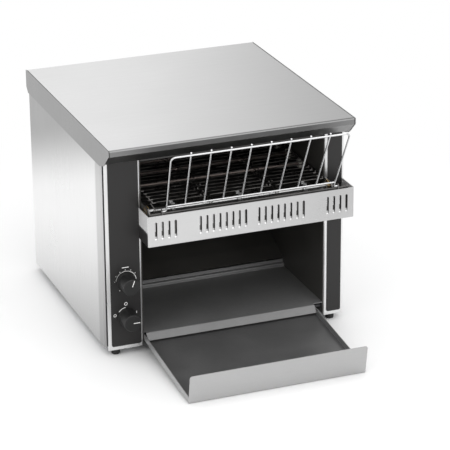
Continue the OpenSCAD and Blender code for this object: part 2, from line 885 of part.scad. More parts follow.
// Side and end faces of a wire whose first corner has number c and which has n rings
function wire_faces(c, n) =
    let (m = wire_sides)
    concat([for (i = [0 : n - 2])
               for (j = [0 : m - 1])
                   for (f = [[i * m + j, (i + 1) * m + j, (i + 1) * m + (j + 1) % m],
                             [i * m + j, (i + 1) * m + (j + 1) % m, i * m + (j + 1) % m]])
                       [for (v = f) c + v]],
           [[for (j = [0 : m - 1]) c + j],
            [for (j = [m - 1 : -1 : 0]) c + (n - 1) * m + j]]);

// The whole belt: every strand keeps clear of the next one that it hooks
module conveyor_belt() {
    strands = [for (k = [0 : belt_count - 1]) strand_path(k)];
    n = len(strands[0]);
    color(dark_steel)
        polyhedron(points = [for (p = strands) for (i = [0 : n - 1]) each wire_ring(p, i, belt_wire / 2)],
                   faces = [for (k = [0 : belt_count - 1]) each wire_faces(k * n * wire_sides, n)]);
}

bush_r = 7;
bush_flange = 1.5;
wheel_x = left_post_x1 - 12;
chain_wheel_r = 12;
chain_drop = 106;
chain_t = 3;
motor_z = shaft_z - chain_drop;

module drive_shaft() {
    color(steel)
        bar_x(wheel_x - 5, tunnel_x1 - 0.2, rear_shaft_y, shaft_z, shaft_r);
}

module front_shaft() {
    color(steel)
        bar_x(tunnel_x0 + 0.2, tunnel_x1 - 0.2, front_shaft_y, shaft_z, shaft_r);
}

// Toothed wheels under the belt; their teeth stay just inside its strands
module belt_sprocket_2d() {
    tip = belt_r - belt_wire / 2 - 0.4;
    root = tip - 4;
    difference() {
        union() {
            circle(root);
            for (i = [0 : belt_teeth - 1])
                rotate(i * 360 / belt_teeth)
                    polygon([[0, -3], [root, -3], [tip - 0.3, -1.2], [tip - 0.3, 1.2],
                             [root, 3], [0, 3]]);
        }
        circle(shaft_r + slip_clear);
    }
}

module belt_sprockets(y) {
    span = belt_x1 - belt_x0;
    color(steel)
        for (f = [0.12, 0.5, 0.88])
            translate([belt_x0 + span * f - sprocket_w / 2, y, shaft_z])
                rotate([90, 0, 90])
                    linear_extrude(sprocket_w)
                        belt_sprocket_2d();
}

module drive_sprockets() {
    belt_sprockets(rear_shaft_y);
}

module front_sprockets() {
    belt_sprockets(front_shaft_y);
}

// Flanged bushes in the conveyor's side plates
module shaft_bushes() {
    color(brass)
        for (y = [front_shaft_y, rear_shaft_y])
            for (s = [0, 1])
                difference() {
                    x0 = s == 0 ? tunnel_x0 + 0.1 : plates_x1 - bush_flange;
                    x1 = s == 0 ? plates_x0 + bush_flange : tunnel_x1 - 0.1;
                    union() {
                        bar_x(x0, x1, y, shaft_z, bush_r);
                        bar_x(s == 0 ? plates_x0 : x0, s == 0 ? x1 : plates_x1, y, shaft_z, bush_r + 2);
                    }
                    bar_x(x0 - 1, x1 + 1, y, shaft_z, shaft_r + run_clear);
                }
}

// Small toothed wheels of the chain drive
module chain_wheel(y, z, bore) {
    color(steel)
        translate([wheel_x - chain_t / 2, y, z])
            rotate([90, 0, 90])
                linear_extrude(chain_t)
                    difference() {
                        union() {
                            circle(chain_wheel_r - 2.5);
                            for (i = [0 : 9])
                                rotate(i * 36)
                                    translate([0, -1.3])
                                        square([chain_wheel_r - 0.6, 2.6]);
                        }
                        if (bore > 0)
                            circle(bore);
                    }
}

module driven_chain_wheel() {
    chain_wheel(rear_shaft_y, shaft_z, shaft_r + slip_clear);
}

// The motor's wheel is made in one piece with the gearbox's output shaft
module motor_chain_wheel() {
    chain_wheel(rear_shaft_y, motor_z, 0);
    color(steel)
        bar_x(bracket_x - 20, wheel_x + 5, rear_shaft_y, motor_z, shaft_r);
}

// Closed band of the chain around both wheels
module drive_chain() {
    color(dark_steel)
        along_x(wheel_x - chain_t, wheel_x + chain_t)
            difference() {
                chain_2d(chain_wheel_r + 3);
                chain_2d(chain_wheel_r);
            }
}

module chain_2d(r) {
    for (z = [shaft_z, motor_z])
        translate([rear_shaft_y, z])
            circle(r);
    translate([rear_shaft_y - r, motor_z])
        square([2 * r, chain_drop]);
}

bracket_x = wheel_x - 9;
bracket_t = 2;
bracket_half = 36;
bracket_foot = 20;
gearbox_w = 30;
gearbox_half = 30;
motor_r = 14.5;
motor_len = 50;

// Plate that carries the gearmotor, standing on the base pan
module motor_bracket() {
    color(steel)
        difference() {
            union() {
                box([bracket_x - bracket_t, rear_shaft_y - bracket_half, pan_z + sheet],
                    [bracket_x, rear_shaft_y + bracket_half, motor_z + bracket_half]);
                box([bracket_x - bracket_foot, rear_shaft_y - bracket_half, pan_z + sheet],
                    [bracket_x, rear_shaft_y + bracket_half, pan_z + sheet + bracket_t]);
            }
            bar_x(bracket_x - 5, bracket_x + 5, rear_shaft_y, motor_z, shaft_r + 3);
        }
}

module gearbox() {
    color([0.55, 0.55, 0.56])
        difference() {
            along_x(bracket_x - bracket_t - gearbox_w, bracket_x - bracket_t)
                translate([rear_shaft_y - gearbox_half, motor_z - gearbox_half])
                    round_rect(2 * gearbox_half, 2 * gearbox_half, 6);
            bar_x(bracket_x - 22, bracket_x, rear_shaft_y, motor_z, shaft_r + run_clear);
        }
}

// Motor can with its rear cap, driving the gearbox from the front
module drive_motor() {
    neck_r = 5;
    color(dark_steel)
        translate([bracket_x - bracket_t - gearbox_w / 2, rear_shaft_y - gearbox_half, motor_z])
            rotate([90, 0, 0])
                rotate_extrude()
                    polygon([[0, 0], [motor_r - 1, 0], [motor_r, 1], [motor_r, motor_len - 4],
                             [motor_r - 3.5, motor_len], [neck_r, motor_len],
                             [neck_r, motor_len + 4], [0, motor_len + 4]]);
}

// ---------- heating ----------

element_count = 4;
element_x0 = plates_x0 + 1;
element_x1 = plates_x1 - 1;

module elements(z) {
    color([0.45, 0.40, 0.36])
        for (i = [0 : element_count - 1])
            bar_x(element_x0, element_x1, element_y + i * element_pitch, z, element_r);
}

module upper_elements() {
    elements(upper_z);
}

module lower_elements() {
    elements(shaft_z);
}

// Ceramic blocks that hold the ends of the elements
module element_holders() {
    color(ceramic)
        for (i = [0 : element_count - 1])
            for (s = [0, 1])
                for (z = [upper_z, shaft_z]) {
                    wall0 = z == upper_z ? tunnel_x0 : plates_x0;
                    wall1 = z == upper_z ? tunnel_x1 : plates_x1;
                    difference() {
                        box([s == 0 ? wall0 : element_x1 - 3,
                             element_y + i * element_pitch - 6, z - 6],
                            [s == 0 ? element_x0 + 3 : wall1,
                             element_y + i * element_pitch + 6, z + 6]);
                        bar_x(element_x0, element_x1, element_y + i * element_pitch, z,
                              element_r + slip_clear);
                    }
                }
}

// Mineral wool over the oven
module insulation() {
    color(wool)
        box([tunnel_x0 + 1, side_setback + 8, lip_z - 1.5 * sheet],
            [tunnel_x1 - 1, liner_y1 - 6, top_z - 4 * sheet]);
}

// ---------- feed rack ----------

// Half width of the rack at a distance a along it from its pivot
function rack_half(a) =
    (rack_w_low + (rack_w_top - rack_w_low) * (a - rack_foot) / (rack_len - rack_foot)) / 2;

// A straight wire in the plane of the rack
module flat_rod(a, b, r) {
    translate([a.x, a.y, 0])
        rotate([90, 0, atan2(b.y - a.y, b.x - a.x) + 90])
            cylinder(h = norm(b - a), r = r);
}

// A wire with round bends in one plane; bends holds the radius at each point
module bent_wire(p, bends, r) {
    last = len(p) - 1;
    for (i = [0 : last - 1]) {
        u = unit(p[i + 1] - p[i]);
        c0 = i == 0 ? 0 : bend_cut(p, i, bends[i]) - run_in;
        c1 = i == last - 1 ? 0 : bend_cut(p, i + 1, bends[i + 1]) - run_in;
        flat_rod(p[i] + u * c0, p[i + 1] - u * c1, r);
    }
    for (i = [1 : last - 1]) {
        a = unit(p[i] - p[i - 1]);
        b = unit(p[i + 1] - p[i]);
        left = a.x * b.y - a.y * b.x > 0;
        side = left ? [-a.y, a.x] : [a.y, -a.x];
        c = p[i] - a * bend_cut(p, i, bends[i]) + side * bends[i];
        start = left ? atan2(a.y, a.x) - 90 : atan2(b.y, b.x) + 90;
        translate([c.x, c.y, 0])
            rotate(start)
                rotate_extrude(angle = acos(a * b))
                    translate([bends[i], 0])
                        circle(r + bend_fuller);
    }
}

// Outer faces of the ears that hold the rack's pivots
ear_gap = 7;
rack_ear_x0 = rack_x - rack_w_low / 2 - ear_gap;
rack_ear_x1 = rack_x + rack_w_low / 2 + ear_gap;

module feed_rack() {
    r = rack_wire / 2;
    low = rack_foot;
    top = rack_len;
    left = rack_x - rack_half(0);
    right = rack_x + rack_half(0);
    color(chrome)
        translate([0, -rack_pivot_out, rack_pivot_z])
            rotate([90 + rack_lean, 0, 0]) {
                bent_wire([[rack_ear_x0 - 0.5, 0], [left, 0], [rack_x - rack_half(top), top],
                           [rack_x + rack_half(top), top], [right, 0], [rack_ear_x1 + 0.5, 0]],
                          [0, 2.4, 7, 7, 2.4, 0], r);
                flat_rod([rack_x - rack_half(low) + 0.3, low], [rack_x + rack_half(low) - 0.3, low],
                         r - 0.06);
                // Bars welded across the frame, on the oven's side
                for (i = [1 : rack_bars])
                    translate([0, 0, -1.6 * r])
                        flat_rod([rack_x + (2 * i / (rack_bars + 1) - 1) * rack_half(low), low - 2],
                                 [rack_x + (2 * i / (rack_bars + 1) - 1) * rack_half(top), top + 3], r);
            }
}

// ---------- controls ----------

// Round knob on a low skirt, with a pointer groove in its face, turned to an angle
module knob(z, angle) {
    skirt_h = 3;
    edge_r = 1.2;
    face = -overlay_t - 0.6;
    bore = spindle_r + slip_clear;
    color(black)
        translate([-half_w + knob_x, face, z])
            rotate([90, 0, 0])
                rotate(angle)
                    difference() {
                        rotate_extrude() {
                            polygon([[bore, 0], [knob_r, 0], [knob_r, skirt_h - 1],
                                     [knob_cap_r + 0.6, skirt_h], [knob_cap_r, knob_h - edge_r],
                                     [knob_cap_r - edge_r, knob_h], [0, knob_h],
                                     [0, knob_h - 3], [bore, knob_h - 3]]);
                            translate([knob_cap_r - edge_r, knob_h - edge_r])
                                intersection() {
                                    circle(edge_r);
                                    square(edge_r);
                                }
                        }
                        translate([1, -0.6, knob_h - 0.5])
                            cube([knob_cap_r - 1.6, 1.2, 2]);
                    }
}

module spindle(z) {
    color(steel)
        bar_y(-overlay_t - 0.6 - knob_h + 3, 10, -half_w + knob_x, z, spindle_r);
}

module speed_knob() {
    knob(speed_z, speed_angle);
}

module speed_spindle() {
    spindle(speed_z);
}

module selector_knob() {
    knob(selector_z, selector_angle);
}

module selector_spindle() {
    spindle(selector_z);
}

// Round control behind the post, with its threaded neck
module speed_control() {
    color([0.30, 0.34, 0.30])
        difference() {
            union() {
                bar_y(sheet, 13, -half_w + knob_x, speed_z, 9);
                bar_y(-overlay_t, 13, -half_w + knob_x, speed_z, 3.9);
            }
            bar_y(-5, 10.1, -half_w + knob_x, speed_z, spindle_r + run_clear);
        }
}

// Square rotary switch behind the post, with its terminals
module selector_switch() {
    x = -half_w + knob_x;
    color([0.20, 0.20, 0.22])
        difference() {
            union() {
                along_y(sheet, 26)
                    translate([x - 14, selector_z - 14])
                        round_rect(28, 28, 3);
                bar_y(-overlay_t, 5, x, selector_z, 3.9);
                for (dx = [-9, 0, 9])
                    for (dz = [-9, 9])
                        box([x + dx - 2, 25, selector_z + dz - 0.4],
                            [x + dx + 2, 32, selector_z + dz + 0.4]);
            }
            bar_y(-5, 10.1, x, selector_z, spindle_r + run_clear);
        }
}

// ---------- electrics ----------

fan_back = rear_in_y;

module fan_frame() {
    color(black)
        difference() {
            along_y(fan_back - fan_depth, fan_back)
                translate([fan_x - fan_size / 2, fan_z - fan_size / 2])
                    round_rect(fan_size, fan_size, 4);
            difference() {
                bar_y(0, fan_back - 3, fan_x, fan_z, fan_size / 2 - 1.5);
                bar_y(fan_back - 4, fan_back, fan_x, fan_z, fan_hub_r);
            }
            bar_y(0, fan_back - 3, fan_x, fan_z, 1.5 + run_clear);
            for (i = [0 : 3])
                along_y(fan_back - 5, fan_back + 1)
                    translate([fan_x, fan_z])
                        rotate(i * 90)
                            fan_window_2d();
        }
}

// Quarter of the open ring between the fan's hub plate and its frame
module fan_window_2d() {
    intersection() {
        difference() {
            circle(fan_size / 2 - 1.5);
            circle(fan_hub_r + 1);
        }
        translate([2, 2])
            square(fan_size);
    }
}

module fan_rotor() {
    y0 = fan_back - fan_depth + 1.5;
    y1 = fan_back - 4.4;
    color([0.16, 0.16, 0.17]) {
        bar_y(y0, y1, fan_x, fan_z, fan_hub_r);
        bar_y(y1 - 1, y1 + 1.2, fan_x, fan_z, 1.5);
        for (i = [0 : 6])
            translate([fan_x, (y0 + y1) / 2, fan_z])
                rotate([0, i * 360 / 7, 0])
                    translate([fan_hub_r - 1, 0, 0])
                        rotate([35, 0, 0])
                            translate([0, -0.6, -5])
                                cube([fan_size / 2 - fan_hub_r - 1.8, 1.2, 10]);
    }
}

block_w = 22;
block_l = 20;
block_h = 16;
block_y = 200;

module terminal_block() {
    x0 = -side_in + sheet + 2;
    color(ceramic)
        difference() {
            box([x0, block_y, pan_z + sheet],
                [x0 + block_w, block_y + block_l, pan_z + sheet + block_h]);
            for (i = [-1 : 1])
                translate([x0 + block_w / 2 + i * 6.5, block_y + block_l / 2, pan_z + sheet + 8])
                    cylinder(h = block_h, r = 2);
        }
}

// Bush of the mains cord in the rear panel; the cord itself isn't shown
module cord_gland() {
    y0 = rear_in_y;
    color(black)
        translate([gland_x, y0, gland_z])
            rotate([-90, 0, 0])
                rotate_extrude()
                    polygon([[4.5, -8], [gland_r, -8], [gland_r, sheet],
                             [gland_r + 3, sheet], [gland_r + 3, sheet + 2.5],
                             [gland_r - 1, 11], [4.5, 11]]);
}

// ---------- feet and fasteners ----------

module at_feet() {
    for (x = [-half_w + foot_x, half_w - foot_x])
        for (y = [foot_y, body_d - foot_y - 10])
            translate([x, y, 0])
                children();
}

module feet() {
    color(black)
        at_feet()
            rotate_extrude()
                polygon([[2.4, 5], [2.4, pan_z], [foot_r, pan_z], [foot_r, pan_z - 3.5],
                         [foot_r - 1, pan_z - 4.5], [foot_r - 1.2, 1], [foot_r - 2, 0],
                         [4.5, 0], [4.5, 5]]);
}

module foot_screws() {
    color(chrome)
        at_feet()
            rotate_extrude()
                polygon([[0, 2.6], [3.6, 2.6], [3.6, 5], [2.1, 5], [2.1, pan_z + sheet + 0.2],
                         [3.4, pan_z + sheet + 0.2], [3.4, pan_z + sheet + 3], [0, pan_z + sheet + 3]]);
}

// Screws through the side panels' flanges into the rear panel
screw_rows = 4;
screw_r = 2.5;
screw_z0 = side_clear + 27;
screw_z1 = top_z - rear_drop - rear_out - cover_tuck - 6;

module panel_screws() {
    x = half_w - side_band_proud - side_flange + screw_r;
    color(chrome)
        for (s = [-1, 1])
            for (i = [0 : screw_rows - 1])
                translate([s * x, body_d, screw_z0 + i * (screw_z1 - screw_z0) / (screw_rows - 1)])
                    rotate([-90, 0, 0])
                        rotate_extrude()
                            polygon([[0, 0], [screw_r, 0], [screw_r - 0.2, 1.2],
                                     [screw_r - 1.1, 1.8], [0, 2]]);
}

translate([0, shift_y, 0]) {
    top_cover();
    left_side_panel();
    right_side_panel();
    rear_panel();
    base_pan();
    left_front_post();
    right_front_post();
    control_overlay();
    right_overlay();
    front_band();
    left_conveyor_plate();
    right_conveyor_plate();
    front_cross_strip();
    left_liner();
    right_liner();
    oven_roof();
    oven_baffle();
    baffle_screws();
    belt_shield();
    toast_chute();
    inner_floor();
    tray_runners();
    extension_tray();
    tray_shoes();
    conveyor_belt();
    drive_shaft();
    drive_sprockets();
    front_shaft();
    front_sprockets();
    shaft_bushes();
    driven_chain_wheel();
    motor_chain_wheel();
    drive_chain();
    gearbox();
    drive_motor();
    motor_bracket();
    upper_elements();
    lower_elements();
    element_holders();
    insulation();
    feed_rack();
    speed_knob();
    speed_spindle();
    speed_control();
    selector_knob();
    selector_spindle();
    selector_switch();
    fan_frame();
    fan_rotor();
    terminal_block();
    cord_gland();
    feet();
    foot_screws();
    panel_screws();
}
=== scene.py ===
"""Looks for the countertop conveyor toaster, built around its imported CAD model.

Lengths are metres, except where a comment says millimetres.
"""
import math

import bmesh
import bpy
from mathutils import Matrix, Vector


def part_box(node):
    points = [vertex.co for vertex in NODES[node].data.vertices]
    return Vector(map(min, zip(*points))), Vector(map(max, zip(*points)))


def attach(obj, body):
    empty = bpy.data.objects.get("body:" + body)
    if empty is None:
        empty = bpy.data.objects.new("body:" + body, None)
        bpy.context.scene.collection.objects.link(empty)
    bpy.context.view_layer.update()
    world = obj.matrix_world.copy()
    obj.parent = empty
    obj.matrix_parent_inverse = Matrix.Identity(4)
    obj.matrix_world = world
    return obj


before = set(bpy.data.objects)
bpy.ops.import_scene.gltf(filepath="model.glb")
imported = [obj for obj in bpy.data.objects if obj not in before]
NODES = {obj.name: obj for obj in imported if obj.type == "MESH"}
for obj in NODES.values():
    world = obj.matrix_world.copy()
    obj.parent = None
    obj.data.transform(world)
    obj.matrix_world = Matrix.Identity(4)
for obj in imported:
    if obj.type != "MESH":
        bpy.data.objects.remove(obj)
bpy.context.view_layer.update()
MM = 0.001

# The layout, in millimetres, has y = 0 at the posts' front and the band's face this far
# ahead of it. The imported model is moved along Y.
BAND_OUT = 40.0
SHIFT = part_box("front_band")[0].y / MM + BAND_OUT


def P(x, y, z):
    """A point of the layout, in millimetres, as metres in the frame."""
    return Vector((x * MM, (y + SHIFT) * MM, z * MM))


# ---------------------------------------------------------------- node trees

class Nodes:
    """A short way to write a material's node tree."""

    def __init__(self, name):
        self.mat = bpy.data.materials.new(name)
        self.mat.use_nodes = True
        self.tree = self.mat.node_tree
        self.tree.nodes.clear()
        self.out = self.new("OutputMaterial")
        self.bsdf = self.new("BsdfPrincipled")
        self.link(self.bsdf.outputs[0], self.out.inputs[0])
        self.coords = self.new("TexCoord").outputs["Object"]
        split = self.new("SeparateXYZ")
        self.link(self.coords, split.inputs[0])
        self.x, self.y, self.z = split.outputs

    def new(self, kind):
        return self.tree.nodes.new("ShaderNode" + kind)

    def link(self, a, b):
        self.tree.links.new(a, b)

    def put(self, value, socket):
        """Link a socket to another one, or set it to a constant."""
        if isinstance(value, bpy.types.NodeSocket):
            self.link(value, socket)
        else:
            socket.default_value = value

    def noise(self, scale, detail, rough, stretch=(1, 1, 1), distortion=0.0):
        m = self.new("Mapping")
        m.inputs["Scale"].default_value = stretch
        self.link(self.coords, m.inputs["Vector"])
        n = self.new("TexNoise")
        n.inputs["Scale"].default_value = scale
        n.inputs["Detail"].default_value = detail
        n.inputs["Roughness"].default_value = rough
        n.inputs["Distortion"].default_value = distortion
        self.link(m.outputs[0], n.inputs["Vector"])
        return n.outputs["Fac"]

    def math(self, op, a, b=0.0):
        n = self.new("Math")
        n.operation = op
        self.put(a, n.inputs[0])
        self.put(b, n.inputs[1])
        return n.outputs[0]

    def times(self, a, b):
        return self.math("MULTIPLY", a, b)

    def remap(self, v, low, high, span=(0.3, 0.7)):
        """From low to high over the span, by default the one that most of a noise fills."""
        n = self.new("MapRange")
        self.put(v, n.inputs["Value"])
        n.inputs["From Min"].default_value, n.inputs["From Max"].default_value = span
        n.inputs["To Min"].default_value, n.inputs["To Max"].default_value = low, high
        return n.outputs[0]

    def step(self, v, span):
        """0 up to the span's first end and 1 from its second on, with soft ends.

        The first end may be the higher one.
        """
        n = self.new("MapRange")
        n.interpolation_type = "SMOOTHSTEP"
        self.put(v, n.inputs["Value"])
        n.inputs["From Min"].default_value, n.inputs["From Max"].default_value = span
        return n.outputs[0]

    def mix(self, fac, a, b):
        n = self.new("Mix")
        n.data_type = "RGBA"
        self.put(fac, n.inputs[0])
        for value, socket in ((a, n.inputs[6]), (b, n.inputs[7])):
            self.put((*value, 1.0) if isinstance(value, tuple) else value, socket)
        return n.outputs[2]

    def turn(self, tone, v, span, other):
        """A tone that turns into another one where v passes over the span."""
        return self.mix(self.step(v, span), tone, other)

    def dim(self, tone, amount):
        """A tone made darker, down to black at an amount of 1."""
        return self.mix(amount, tone, grey(0.0))

    def bump(self, height, distance, strength):
        n = self.new("Bump")
        n.inputs["Distance"].default_value = distance
        n.inputs["Strength"].default_value = strength
        self.link(height, n.inputs["Height"])
        return n.outputs[0]

    def base(self):
        """The socket that gives the base colour so far."""
        return self.bsdf.inputs["Base Color"].links[0].from_socket

    def set(self, **values):
        for key, value in values.items():
            self.put(value, self.bsdf.inputs[key.replace("_", " ")])
        return self

    def on(self, *names):
        """Put the material on CAD nodes."""
        for name in names:
            for s in NODES[name].material_slots:
                s.material = self.mat
            if not NODES[name].material_slots:
                NODES[name].data.materials.append(self.mat)


def grey(value):
    return (value, value, value)


# ---------------------------------------------------------------- kinds of material

# Stretch of the streaks' noise for a grain along each axis
GRAIN = {"x": (1, 60, 60), "y": (60, 1, 60), "z": (60, 60, 1)}


def brushed(name, tones, rough, grain="x", spread=0.03, blotch=0.03):
    """Rolled and brushed sheet: fine streaks along the grain over broad, faint clouds.

    The tones are a light and a dark one, or a painted sheen: a function that gives a tone
    which changes slowly over the sheet, painted reflection and shade in place of the light on
    polished steel.
    """
    n = Nodes(name)
    streak = n.noise(18.0, 4.0, 0.65, GRAIN[grain])
    cloud = n.noise(9.0, 3.0, 0.5)
    # a painted sheen puts reflection and shade into the base colour, with faint clouds and streaks
    # on it
    if callable(tones):
        tone = n.dim(tones(n), n.remap(cloud, 0.03, 0.0))
        tone = n.dim(tone, n.remap(streak, 0.0, 0.05))
    else:
        light, dark = tones
        tone = n.mix(n.remap(cloud, 0.0, 1.0), dark, light)
        tone = n.mix(n.remap(streak, 0.0, 0.35), tone, dark)
    r = n.math("ADD", n.remap(streak, rough - spread, rough + spread, (0.25, 0.75)),
               n.remap(cloud, -blotch, blotch))
    return n.set(Base_Color=tone, Metallic=1.0, Roughness=r, Normal=n.bump(streak, 0.00001, 0.4))


def worn(name, light, dark, rough, scale, metallic=1.0, bump=0.00003, spread=0.12):
    """Heat-tinted or used metal: patches of two tones with scratches."""
    n = Nodes(name)
    patch = n.noise(scale, 5.0, 0.6, distortion=0.4)
    fine = n.noise(scale * 14, 3.0, 0.6)
    scratch = n.noise(30.0, 3.0, 0.7, (1, 26, 12))
    tone = n.mix(n.remap(patch, 0.0, 1.0), dark, light)
    tone = n.mix(n.remap(scratch, 0.0, 0.35, (0.62, 0.75)), tone, light)
    r = n.math("ADD", n.remap(patch, rough - spread, rough + spread), n.remap(fine, -0.04, 0.04))
    return n.set(Base_Color=tone, Metallic=metallic, Roughness=r, Normal=n.bump(fine, bump, 0.5))


def coated(name, colour, rough, scale=900.0, bump=0.00002, coat=0.0, vary=0.25):
    """Paint, plastic or printed film: fine orange peel and slightly uneven gloss."""
    n = Nodes(name)
    peel = n.noise(scale, 2.0, 0.5)
    cloud = n.noise(14.0, 3.0, 0.5)
    darker = tuple(c * (1 - vary) for c in colour)
    tone = n.mix(n.remap(cloud, 0.0, 1.0), darker, colour)
    r = n.remap(cloud, rough - 0.04, rough + 0.04)
    return n.set(Base_Color=tone, Metallic=0.0, Roughness=r, Coat_Weight=coat,
                 Coat_Roughness=0.2, Normal=n.bump(peel, bump, 0.5))


def plated(name, colour, rough):
    """Chrome plate with a faint haze."""
    n = Nodes(name)
    haze = n.noise(160.0, 3.0, 0.6)
    hazy = tuple(c * 0.9 for c in colour)
    tone = n.mix(n.remap(haze, 0.0, 1.0, (0.35, 0.7)), hazy, colour)
    r = n.remap(haze, rough, rough + 0.08)
    return n.set(Base_Color=tone, Metallic=1.0, Roughness=r, Normal=n.bump(haze, 0.00001, 0.3))


def fibre(name, light, dark):
    """Mineral wool: matt tufts."""
    n = Nodes(name)
    tuft = n.noise(220.0, 5.0, 0.7, (1, 1, 3))
    tone = n.mix(n.remap(tuft, 0.0, 1.0, (0.35, 0.65)), dark, light)
    return n.set(Base_Color=tone, Roughness=0.95, Normal=n.bump(tuft, 0.0006, 0.8))


# ---------------------------------------------------------------- painted sheens and shade, and special sheets

# The photograph is seen from this angle to the left of the front
VIEW_AZIMUTH = math.radians(-21.05)


def cover_painted_sheen(n):
    """Painted reflection: the cover is lightest along its left edge and darkens to the right.

    A painted dark line of shade runs along its front. The upright edge below is painted dark,
    most of all in its middle, with a painted lighter rim at its top, and the lip below that
    gets an even painted shade.
    """
    low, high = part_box("top_cover")
    top_span, line_span, edge_span = (-0.20, 0.32), (0.0048, 0.0040), (0.10, 0.19)
    rim_start, edge_start, lip_start = (0.0002, 0.0004), (0.0014, 0.0018), (0.0088, 0.0096)
    across = n.math("ADD", n.times(n.x, math.cos(VIEW_AZIMUTH)),
                    n.times(n.y, math.sin(VIEW_AZIMUTH)))
    behind = n.math("SUBTRACT", n.y, low.y)
    below = n.math("SUBTRACT", high.z, n.z)
    # painted reflection: light at the left of the top, dark at its right
    top = n.turn(grey(0.77), across, top_span, grey(0.34))
    # painted dark line of shade behind the front edge
    top = n.dim(top, n.times(n.step(behind, line_span), 0.68))
    edge = n.turn(grey(0.12), n.math("ABSOLUTE", n.x), edge_span, grey(0.24))
    # painted rim, painted dark upright edge and painted even shade on the lip
    tone = n.turn(top, below, rim_start, grey(0.27))
    tone = n.turn(tone, below, edge_start, edge)
    return n.turn(tone, below, lip_start, grey(0.24))


def side_painted_sheen(n):
    """Painted reflection: the side panels are lightest in a broad strip half way up, which
    falls to the back.

    Their rolled front edge and the raised band at their top are darker, with painted shade.
    """
    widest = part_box("right_side_panel")[1].x
    lower_span, upper_span, strip_fall = (-0.04, 0.22), (0.235, 0.345), 0.375
    roll_span = (P(0, 34.0, 0).y, P(0, 26.0, 0).y)
    band_start = (widest - 0.0005, widest - 0.0001)
    height = n.math("ADD", n.z, n.times(n.y, strip_fall))
    # painted reflection strip, with painted shade below and above it
    tone = n.turn(grey(0.48), height, lower_span, grey(0.93))
    tone = n.turn(tone, height, upper_span, grey(0.37))
    # painted shade along the rolled front edge
    tone = n.dim(tone, n.times(n.step(n.y, roll_span), 0.3))
    # painted shade on the raised band
    return n.turn(tone, n.math("ABSOLUTE", n.x), band_start, grey(0.30))


def band_sheet(name, light, dark, rough):
    """Sheet of the louvred band, with painted shade that darkens it a little to the right.

    Behind its face, the flaps are painted pale and dull as if lit, and the tongues are
    darker with painted shade.
    """
    n = brushed(name, (light, dark), rough)
    inner_y = P(0, -BAND_OUT + 1.3, 0).y        # just inside the face's sheet
    inner_start, right_span = (inner_y, inner_y + 0.0003), (-0.10, 0.19)
    flap_start, tongue_start = (0.2020, 0.2030), (0.2000, 0.1990)
    behind = n.step(n.y, inner_start)
    flap = n.times(behind, n.step(n.z, flap_start))
    tongue = n.times(behind, n.step(n.z, tongue_start))
    # painted shade towards the right
    tone = n.dim(n.base(), n.times(n.step(n.x, right_span), 0.17))
    # painted light on the flaps and painted shade on the tongues
    tone = n.mix(tongue, n.mix(flap, tone, grey(0.72)), grey(0.30))
    return n.set(Base_Color=tone, Metallic=n.math("SUBTRACT", 1.0, n.times(flap, 0.9)))


def tray_sheet(name, inner, plate, rough):
    """Used sheet of the tray; its front plate and side walls are lighter and more metallic than
    its floor.
    """
    n = worn(name, *inner, rough, 14.0, spread=0.05)
    low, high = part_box("extension_tray")
    half = (high.x - low.x) / 2
    front_start = (P(0, -186.0, 0).y, P(0, -187.2, 0).y)
    wall_start = (half - 0.0013, half - 0.0011)
    aside = n.math("ABSOLUTE", n.math("SUBTRACT", n.x, low.x + half))
    front = n.step(n.y, front_start)
    wall = n.step(aside, wall_start)
    streak = n.noise(18.0, 4.0, 0.65, GRAIN["x"])
    # front plate and side walls lighter and more metallic than the floor
    lighter_plate = n.mix(n.remap(streak, 0.0, 0.5), *plate)
    tone = n.mix(wall, n.base(), grey(0.42))
    extra_metal = n.math("MAXIMUM", n.times(front, 0.45), n.times(wall, 0.3))
    return n.set(Base_Color=n.mix(front, tone, lighter_plate), Metallic=n.math("ADD", extra_metal, 0.5))


# ---------------------------------------------------------------- materials of the CAD nodes

# the cover and the side panels carry painted reflection and shade in their base colour
brushed("stainless_top", cover_painted_sheen, 0.34).on("top_cover")
brushed("stainless_side", side_painted_sheen, 0.30, "z").on("left_side_panel", "right_side_panel")
brushed("stainless_rear", (grey(0.66), grey(0.58)), 0.32, "z").on("rear_panel")
brushed("stainless_front", (grey(0.80), grey(0.74)), 0.30, "z").on(
    "left_front_post", "right_front_post")
# the band carries painted shade to the right and painted light and shade in its slots
band_sheet("stainless_band", grey(0.66), grey(0.61), 0.30).on("front_band")
worn("galvanised", (0.62, 0.63, 0.64), (0.50, 0.51, 0.53), 0.42, 45.0).on(
    "base_pan", "tray_runners", "motor_bracket")
coated("overlay", (0.009, 0.008, 0.008), 0.46, 1400.0, 0.00001).on(
    "control_overlay", "right_overlay")
worn("dark_steel", (0.20, 0.195, 0.19), (0.11, 0.107, 0.105), 0.38, 22.0).on(
    "left_conveyor_plate", "right_conveyor_plate", "front_cross_strip", "drive_chain")
worn("floor_steel", grey(0.23), grey(0.19), 0.45, 12.0, metallic=0.35, spread=0.05).on(
    "inner_floor")
tray_sheet("tray_steel", (grey(0.165), grey(0.135)), (grey(0.48), grey(0.44)), 0.38).on(
    "extension_tray")
coated("liner", (0.052, 0.050, 0.046), 0.42, 600.0).on(
    "left_liner", "right_liner", "oven_roof", "oven_baffle", "belt_shield", "toast_chute")
worn("belt", (0.26, 0.25, 0.24), (0.07, 0.066, 0.062), 0.34, 60.0).on("conveyor_belt")
plated("chrome", (0.66, 0.66, 0.665), 0.14).on("feed_rack", "baffle_screws")
brushed("shaft", (grey(0.60), grey(0.48)), 0.30, "y", spread=0.06, blotch=0.05).on(
    "drive_shaft", "front_shaft", "drive_sprockets", "front_sprockets", "driven_chain_wheel",
    "motor_chain_wheel", "speed_spindle", "selector_spindle")
worn("bronze", (0.60, 0.44, 0.22), (0.42, 0.30, 0.15), 0.40, 80.0).on("shaft_bushes")
